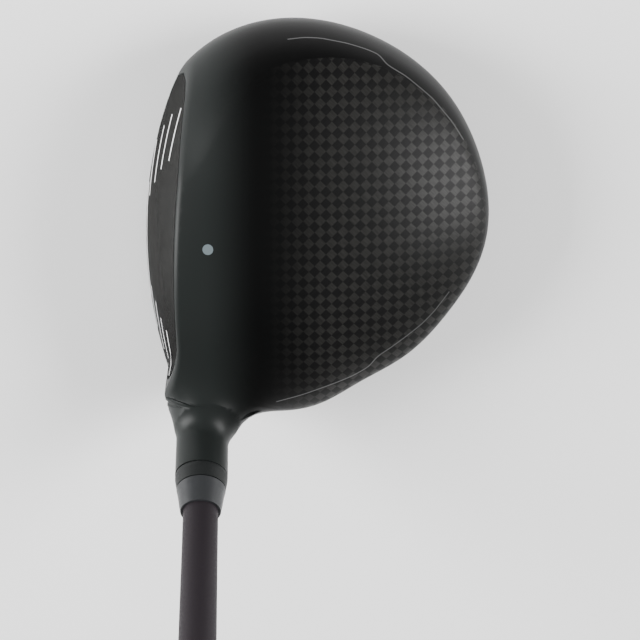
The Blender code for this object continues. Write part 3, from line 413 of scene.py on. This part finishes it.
class Shade:
    """A Principled material and short calls that add the nodes feeding it."""

    def __init__(self, name, **values):
        self.material = bpy.data.materials.new(name)
        self.material.use_nodes = True
        self.tree = self.material.node_tree
        self.shader = self.tree.nodes["Principled BSDF"]
        for socket, value in values.items():
            self.shader.inputs[socket.replace("_", " ")].default_value = value
        place = self.tree.nodes.new("ShaderNodeTexCoord").outputs["Object"]
        self.place = self.vector("SCALE", place, scale=1 / MM)
        split = self.tree.nodes.new("ShaderNodeSeparateXYZ")
        self.tree.links.new(self.place, split.inputs[0])
        self.x, self.y, self.z = split.outputs

    def put(self, socket, value):
        """Link a socket into another one, or set it to a plain value."""
        if isinstance(value, bpy.types.NodeSocket):
            self.tree.links.new(value, socket)
        else:
            socket.default_value = value

    def math(self, operation, a, b=0.0):
        node = self.tree.nodes.new("ShaderNodeMath")
        node.operation = operation
        self.put(node.inputs[0], a)
        self.put(node.inputs[1], b)
        return node.outputs[0]

    def vector(self, operation, a, b=None, scale=None):
        node = self.tree.nodes.new("ShaderNodeVectorMath")
        node.operation = operation
        self.put(node.inputs[0], a)
        if b is not None:
            self.put(node.inputs[1], b)
        if scale is not None:
            self.put(node.inputs["Scale"], scale)
        return node.outputs["Value" if operation in ("DOT_PRODUCT", "DISTANCE") else "Vector"]

    def combine(self, x, y):
        node = self.tree.nodes.new("ShaderNodeCombineXYZ")
        self.put(node.inputs[0], x)
        self.put(node.inputs[1], y)
        return node.outputs[0]

    def ramp(self, value, low, high, to_low=0.0, to_high=1.0):
        """A value eased from to_low to to_high while it goes from low to high."""
        node = self.tree.nodes.new("ShaderNodeMapRange")
        node.interpolation_type = "SMOOTHSTEP"
        for socket, number in zip(node.inputs, (value, low, high, to_low, to_high)):
            self.put(socket, number)
        return node.outputs[0]

    def mix(self, share, a, b):
        node = self.tree.nodes.new("ShaderNodeMix")
        node.data_type = "RGBA"
        self.put(node.inputs["Factor"], share)
        for socket, value in ((node.inputs[6], a), (node.inputs[7], b)):
            self.put(socket, (*value, 1) if isinstance(value, tuple) else value)
        return node.outputs[2]

    def noise(self, scale, detail=3.0, stretch=(1, 1, 1), place=None):
        node = self.tree.nodes.new("ShaderNodeTexNoise")
        node.inputs["Scale"].default_value = scale
        node.inputs["Detail"].default_value = detail
        stretched = self.vector("MULTIPLY", place or self.place, stretch)
        self.put(node.inputs["Vector"], stretched)
        return node.outputs["Fac"]

    def bump(self, height, distance, strength=1.0):
        node = self.tree.nodes.new("ShaderNodeBump")
        node.inputs["Strength"].default_value = strength
        node.inputs["Distance"].default_value = distance
        self.put(node.inputs["Height"], height)
        self.put(self.shader.inputs["Normal"], node.outputs[0])

    def colour(self, value):
        self.put(self.shader.inputs["Base Color"], value)

    def roughness(self, value):
        self.put(self.shader.inputs["Roughness"], value)

    def along_shaft(self):
        """Place along the shaft axis."""
        local = self.vector("SUBTRACT", self.place, tuple(HOSEL_POINT / MM))
        return self.vector("DOT_PRODUCT", local, tuple(AXIS))


def paint(obj, shade):
    """Give an object one material."""
    obj.data.materials.clear()
    obj.data.materials.append(shade.material)


def speckled(name, low, high, roughness, grain=6.0, depth=0.01, metallic=0.0, specular=0.5):
    """A plain moulded, cast or machined surface with a fine grain in colour, gloss and relief."""
    shade = Shade(name, Metallic=metallic, Specular_IOR_Level=specular)
    grain_value = shade.noise(grain)
    shade.colour(shade.mix(grain_value, low, high))
    wear = shade.noise(grain * 0.3)
    shade.roughness(shade.ramp(wear, NOISE_LOW, NOISE_HIGH, roughness * 0.85, roughness * 1.15))
    shade.bump(grain_value, depth * MM)
    return shade


def turned_metal(name, low, high, roughness, metallic=0.9, pitch=14.0, specular=0.5):
    """Metal with fine turning marks round the shaft axis."""
    shade = Shade(name, Metallic=metallic, Specular_IOR_Level=specular)
    marks = shade.math("SINE", shade.math("MULTIPLY", shade.along_shaft(), pitch))
    grain = shade.noise(2.5)
    shade.colour(shade.mix(grain, low, high))
    shade.roughness(shade.ramp(grain, NOISE_LOW, NOISE_HIGH, roughness * 0.8, roughness * 1.2))
    shade.bump(marks, TURNING_DEPTH, 0.5)
    return shade


# ---- Head --------------------------------------------------------------------------------------
PAINT_BLACK = (0.0012, 0.0013, 0.0013)
# greyer black of the painted sheen along the face
PAINT_FRONT_SHEEN = (0.011, 0.0128, 0.0123)
PAINT_ROUGHNESS = (0.36, 0.44)
PAINT_GRAIN = 0.12                  # height of the paint's grain, as a share of the relief
FRONT_BAND = (-27.0, -13.0)         # the painted sheen, a greyer band along the face, fades out between these, along X
DOT = (-25.2, 1.6, 0.0)
DOT_GREY = (0.105, 0.13, 0.14)
DOT_EDGE = (1.22, 1.32)             # from full colour to none
DOT_LEVEL = (20.0, 21.0)            # the dot is on the crown only, above this
CLEARING = (-13.0, 6.0)             # the paint clears over the weave between these, along X
TOW = 1.92                          # width of a strand
# painted sheen and painted shade: one carbon colour, lit on the strands that run one way and shaded on the
# others
STRAND_LIT = (0.0135, 0.0133, 0.0125)
STRAND_SHADED = (0.0030, 0.0031, 0.0031)
FIBRE_ACROSS, FIBRE_ALONG = 9, 0.7  # how often the fibres change across a strand, and along it
FIBRE_NOISE = (0.25, 0.75)
# painted sheen along the fibres, as a factor on the strand colour
FIBRE_SHINE = (0.65, 1.25)
WEAVE_HEIGHT = 0.5
DARK_STRAND_ROUGHER = 0.10
CROWN_RELIEF = 0.05 * MM
CROWN_RELIEF_STRENGTH = 0.6


def weave(shade):
    """A plain weave at 45 degrees: its colour, which strands are the dark ones, and their humps. The lighter
    and darker strands and the fibres' shine are painted sheen and painted shade, since each direction of
    strand catches the light differently.
    """
    u = shade.math("DIVIDE", shade.math("ADD", shade.x, shade.y), TOW * math.sqrt(2))
    v = shade.math("DIVIDE", shade.math("SUBTRACT", shade.x, shade.y), TOW * math.sqrt(2))
    cells = shade.math("ADD", shade.math("FLOOR", u), shade.math("FLOOR", v))
    dark = shade.math("ABSOLUTE", shade.math("MODULO", cells, 2.0))
    humps = [shade.math("SQRT", shade.math("PINGPONG", across, 0.5)) for across in (u, v)]
    shines = []
    for stretch in ((FIBRE_ACROSS, FIBRE_ALONG, 1), (FIBRE_ALONG, FIBRE_ACROSS, 1)):
        fibres = shade.noise(1.0, detail=2.0, stretch=stretch, place=shade.combine(u, v))
        shines.append(shade.ramp(fibres, *FIBRE_NOISE, *FIBRE_SHINE))
    strand = shade.mix(dark, STRAND_LIT, STRAND_SHADED)
    shine = shade.math("ADD", shade.math("MULTIPLY", shines[0], shade.math("SUBTRACT", 1.0, dark)),
                       shade.math("MULTIPLY", shines[1], dark))
    return shade.vector("SCALE", strand, scale=shine), dark, shade.math("MULTIPLY", *humps)


def crown_paint(name, woven):
    """Matte black paint with a painted sheen that makes it greyer at the front, and which clears over the
    weave towards the back.
    """
    shade = Shade(name, Specular_IOR_Level=0.10)
    fine = shade.noise(9.0, detail=2.0)
    # painted sheen: the black turns greyer towards the face
    front = shade.ramp(shade.x, *FRONT_BAND, 1.0, 0.0)
    colour = shade.mix(front, PAINT_BLACK, PAINT_FRONT_SHEEN)
    away = shade.vector("DISTANCE", shade.vector("MULTIPLY", shade.place, (1, 1, 0)), DOT)
    spot = shade.math("MULTIPLY", shade.ramp(away, *DOT_EDGE, 1.0, 0.0), shade.ramp(shade.z, *DOT_LEVEL))
    colour = shade.mix(spot, colour, DOT_GREY)
    height = shade.math("MULTIPLY", fine, PAINT_GRAIN)
    roughness = shade.ramp(fine, NOISE_LOW, NOISE_HIGH, *PAINT_ROUGHNESS)
    if woven:
        woven_colour, dark, hump = weave(shade)
        clear = shade.ramp(shade.x, *CLEARING)
        colour = shade.mix(clear, colour, woven_colour)
        woven_height = shade.math("MULTIPLY", hump, clear)
        height = shade.math("ADD", height, shade.math("MULTIPLY", woven_height, WEAVE_HEIGHT))
        rougher = shade.math("MULTIPLY", shade.math("MULTIPLY", dark, clear), DARK_STRAND_ROUGHER)
        roughness = shade.math("ADD", roughness, rougher)
    shade.colour(colour)
    shade.roughness(roughness)
    shade.bump(height, CROWN_RELIEF, CROWN_RELIEF_STRENGTH)
    return shade


head_body = refined("head_shell", "head_body", FINEST, HEAD_NEAR)
crown_panel = refined("woven_crown", "crown_panel", FINEST, HEEL_NEAR)
face_insert = refined("striking_face", "face_insert", FINEST, FACE_NEAR)
sole_badge = refined("badge_plate", "sole_badge", FINEST_BADGE, BADGE_NEAR)
paint(head_body, crown_paint("head_paint", woven=False))
paint(crown_panel, crown_paint("crown_weave", woven=True))

BRUSHING = (6, 0.25, 14)            # the brush marks run along the face, from heel to toe
STEEL_LOW, STEEL_HIGH = (0.05, 0.0505, 0.05), (0.12, 0.12, 0.117)
HEEL_DARK = (0.015, 0.015, 0.015)
HEEL_FADE = (-36.0, 0.0, 0.35, 1.0)  # from and to along Y, then the share of plain steel at each
FACE_ROUGHNESS = (0.34, 0.48)


def brushed_steel():
    """The face: brushed from heel to toe, and darker towards the heel."""
    shade = Shade("face_steel", Metallic=1.0, Specular_IOR_Level=0.1, Specular_Tint=(0.12, 0.12, 0.12, 1))
    brushing = shade.noise(1.0, detail=4.0, stretch=BRUSHING)
    steel = shade.mix(brushing, STEEL_LOW, STEEL_HIGH)
    shade.colour(shade.mix(shade.ramp(shade.y, *HEEL_FADE), HEEL_DARK, steel))
    shade.roughness(shade.ramp(brushing, NOISE_LOW, NOISE_HIGH, *FACE_ROUGHNESS))
    shade.bump(brushing, 0.006 * MM, 0.6)
    return shade


paint(face_insert, brushed_steel())
paint(sole_badge, speckled("badge_metal", (0.12, 0.12, 0.125), (0.2, 0.2, 0.21), 0.32, metallic=0.9))


def ribbon(name, lines, width, lift, across):
    """Thin painted lines that lie on the head, in one mesh. Each line is a list of points.

    Their width lies along across, or square to the line where across is None.
    """
    bm = bmesh.new()
    for line in lines:
        line = np.array(line)
        ahead = np.gradient(line, axis=0)
        normals = outward(line)
        side = np.cross(normals, ahead) if across is None else np.tile(across, (len(line), 1))
        side /= np.linalg.norm(side, axis=1)[:, None]
        edges = [on_head(line + side * width / 2 * sign, lift) for sign in (-1, 1)]
        rows = [[bm.verts.new(point) for point in edge] for edge in edges]
        for i in range(len(line) - 1):
            bm.faces.new((rows[0][i], rows[0][i + 1], rows[1][i + 1], rows[1][i]))
    bm.normal_update()
    for face in bm.faces:
        middle = np.array(face.calc_center_median())
        if np.dot(face.normal, outward(middle[None])[0]) < 0:
            face.normal_flip()
    mesh = bpy.data.meshes.new(name)
    bm.to_mesh(mesh)
    bm.free()
    mesh.shade_smooth()
    piece = link(name, mesh)
    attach(piece, "head")
    return piece


GROOVES = (                     # height, then the ends along Y
    (25.5, 20.5, 33.2), (19.0, 17.4, 30.9), (13.5, 13.2, 27.4), (8.0, 9.0, 23.1),
    (25.5, -33.7, -21.8), (19.0, -32.4, -20.2), (13.5, -29.7, -17.2), (8.0, -25.4, -14.4),
    (5.5, -17.4, 12.0))
SCORE_STEPS = 30
SCORE_WIDTH = 0.75 * MM
SCORE_LIFT = 0.02 * MM
UP_THE_FACE = (0.26, 0, 0.97)
score_lines = []
for height, start, end in GROOVES:
    ys = np.linspace(start, end, SCORE_STEPS) * MM
    score_lines.append([(face_x(y, height * MM), y, height * MM) for y in ys])
score_paint = ribbon("score_line_paint", score_lines, SCORE_WIDTH, SCORE_LIFT, UP_THE_FACE)
paint(score_paint, speckled("score_white", (0.62, 0.62, 0.62), (0.8, 0.8, 0.8), 0.5))


# ---- Crown lines and the painted-over front seam -------------------------------------------------
LINE_STEPS = 60
SMOOTHING_ROUNDS = 2
ABOVE_CROWN = 60 * MM
DROP_HALVINGS = 40


def dropped(line):
    """The crown's surface straight below points above it."""
    low = np.full(len(line), WIDEST_HEIGHT)
    high = np.full(len(line), ABOVE_CROWN)
    for _ in range(DROP_HALVINGS):
        middle = (low + high) / 2
        above = head_field(np.column_stack([line, middle])) > 0
        high = np.where(above, middle, high)
        low = np.where(above, low, middle)
    return np.column_stack([line, high])


def smooth_line(points):
    """A line through (x, y) points in millimetres, laid on the crown from above."""
    points = np.array(points, float) * MM
    lengths = np.concatenate([[0], np.cumsum(np.linalg.norm(np.diff(points, axis=0), axis=1))])
    places = np.linspace(0, lengths[-1], LINE_STEPS)
    line = np.stack([np.interp(places, lengths, points[:, i]) for i in range(2)], 1)
    for _ in range(SMOOTHING_ROUNDS):
        line[1:-1] = (line[:-2] + 2 * line[1:-1] + line[2:]) / 4
    return dropped(line)


SEAM_START, SEAM_END = 96, 258      # degrees round from the back
SEAM_STEPS = 220
SEAM_WIDTH = 1.5 * MM
SEAM_LIFT = 0.012 * MM
seam_path = []
for turn in np.radians(np.linspace(SEAM_START, SEAM_END, SEAM_STEPS)):
    reach = panel_radius(turn) + GAP / 2
    seam_path.append((reach * math.cos(turn), reach * math.sin(turn)))
seam_filler = ribbon("seam_filler", [dropped(np.array(seam_path))], SEAM_WIDTH, SEAM_LIFT, None)
paint(seam_filler, crown_paint("seam_paint", woven=True))

CROWN_LINE_WIDTH = 0.32 * MM
CROWN_LINE_LIFT = 0.03 * MM
TOE_LINE = ((-6.4, 49.6), (-2.5, 50.0), (1.5, 49.8), (7.6, 48.6), (12.2, 47.2), (15.5, 45.8), (16.2, 45.0),
            (16.9, 43.8), (21.9, 40.8), (25.7, 37.7), (28.4, 35.4), (31.1, 32.2), (33.3, 29.6), (36.0, 25.3))
HEEL_LINE = ((-9.5, -39.0), (-3.6, -37.1), (1.1, -35.4), (5.8, -33.9), (9.6, -32.5), (13.4, -30.3),
             (14.4, -28.8), (15.4, -27.4), (18.3, -25.5), (23.0, -22.1), (26.2, -19.7), (29.3, -16.6),
             (33.0, -11.7))
crown_lines = ribbon("crown_lines", [smooth_line(TOE_LINE), smooth_line(HEEL_LINE)],
                     CROWN_LINE_WIDTH, CROWN_LINE_LIFT, None)
stripe_paint = Shade("stripe_grey", Roughness=0.45)
STRIPE_FADE = (10.0, 36.0)          # the lines darken between these, along X
fade = stripe_paint.ramp(stripe_paint.x, *STRIPE_FADE)
stripe_grey = stripe_paint.mix(stripe_paint.noise(6.0), (0.045, 0.045, 0.045), (0.06, 0.06, 0.06))
stripe_paint.colour(stripe_paint.mix(fade, stripe_grey, (0.02, 0.02, 0.02)))
paint(crown_lines, stripe_paint)

# ---- Other CAD pieces keep their shape and get a finish -------------------------------------------
finishes = {
    "adapter_sleeve": turned_metal("sleeve_alloy", (0.008, 0.009, 0.009), (0.012, 0.013, 0.013), 0.5,
                                   metallic=0.0, specular=0.12),
    "ferrule": speckled("ferrule_plastic", (0.016, 0.017, 0.018), (0.024, 0.025, 0.027), 0.4, specular=0.2),
    "shaft": speckled("shaft_graphite", (0.013, 0.0108, 0.0130), (0.017, 0.0138, 0.016), 0.55, specular=0.08),
    "hosel_insert": turned_metal("ring_steel", (0.25, 0.25, 0.25), (0.35, 0.35, 0.35), 0.4),
    "screw_washer": turned_metal("washer_steel", (0.35, 0.35, 0.36), (0.45, 0.45, 0.46), 0.35),
    "hosel_screw": turned_metal("hosel_screw_steel", (0.16, 0.16, 0.17), (0.25, 0.25, 0.26), 0.32),
    "weight_screw": speckled("weight_screw_steel", (0.16, 0.16, 0.17), (0.25, 0.25, 0.26), 0.32,
                             metallic=0.9),
    "screw_retainer": speckled("retainer_nylon", (0.03, 0.03, 0.03), (0.06, 0.06, 0.06), 0.6),
    "shaft_epoxy": speckled("epoxy", (0.42, 0.34, 0.14), (0.52, 0.44, 0.2), 0.35, grain=3.0),
    "tip_plug": speckled("plug_plastic", (0.5, 0.5, 0.48), (0.6, 0.6, 0.58), 0.5),
    "grip_tape": speckled("paper_tape", (0.55, 0.5, 0.4), (0.7, 0.65, 0.53), 0.85, grain=3.0, depth=0.05),
    "grip": speckled("grip_rubber", (0.016, 0.016, 0.017), (0.028, 0.028, 0.03), 0.7, depth=0.05),
    "grip_cap": speckled("cap_rubber", (0.018, 0.018, 0.018), (0.026, 0.026, 0.026), 0.55),
    "hot_melt_pad": speckled("hot_melt", (0.62, 0.54, 0.3), (0.75, 0.66, 0.4), 0.5, grain=1.5, depth=0.1),
    "rear_weight": speckled("weight_tungsten", (0.22, 0.21, 0.2), (0.33, 0.32, 0.31), 0.3, metallic=0.9),
}
TURNED_NODES = ("adapter_sleeve", "ferrule", "shaft", "grip", "grip_cap", "screw_washer", "hosel_screw")
for node, shade in finishes.items():
    if node in TURNED_NODES:
        round_shading(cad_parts[node].data)
    paint(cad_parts[node], shade)

# ---- Studio ------------------------------------------------------------------------------------
HEAD_MIDDLE = Vector((0, 0, 0.03))
LIGHT_SIZE = (0.5, 0.9)
LIGHTS = (                          # name, place, power in watts
    ("right", (0.95, 0.1, 0.5), 28.0),
    ("front", (-0.95, 0.05, 0.4), 34.0))
WORLD_STRENGTH = 0.32
FLOOR_REACH = 3.0
FLOOR_LEVEL = -0.2 * MM

for name, place, power in LIGHTS:
    data = bpy.data.lights.new(name, "AREA")
    data.shape = "RECTANGLE"
    data.size, data.size_y = LIGHT_SIZE
    data.energy = power
    light = bpy.data.objects.new(name, data)
    light.location = Vector(place)
    light.rotation_mode = "QUATERNION"
    light.rotation_quaternion = (Vector(place) - HEAD_MIDDLE).to_track_quat("Z", "Y")
    bpy.context.scene.collection.objects.link(light)

world = bpy.data.worlds.new("studio")
bpy.context.scene.world = world
world.use_nodes = True
background = world.node_tree.nodes["Background"]
background.inputs["Color"].default_value = (1, 1, 1, 1)
background.inputs["Strength"].default_value = WORLD_STRENGTH

floor_mesh = bpy.data.meshes.new("floor")
corners = [(x * FLOOR_REACH, y * FLOOR_REACH, 0) for x, y in ((-1, -1), (1, -1), (1, 1), (-1, 1))]
floor_mesh.from_pydata(corners, [], [(0, 1, 2, 3)])
floor = link("floor", floor_mesh)
floor.location.z = FLOOR_LEVEL
floor_shade = Shade("floor_white", Roughness=0.9)
floor_shade.colour(floor_shade.mix(floor_shade.noise(0.02), (0.92, 0.92, 0.92), (0.95, 0.95, 0.95)))
paint(floor, floor_shade)
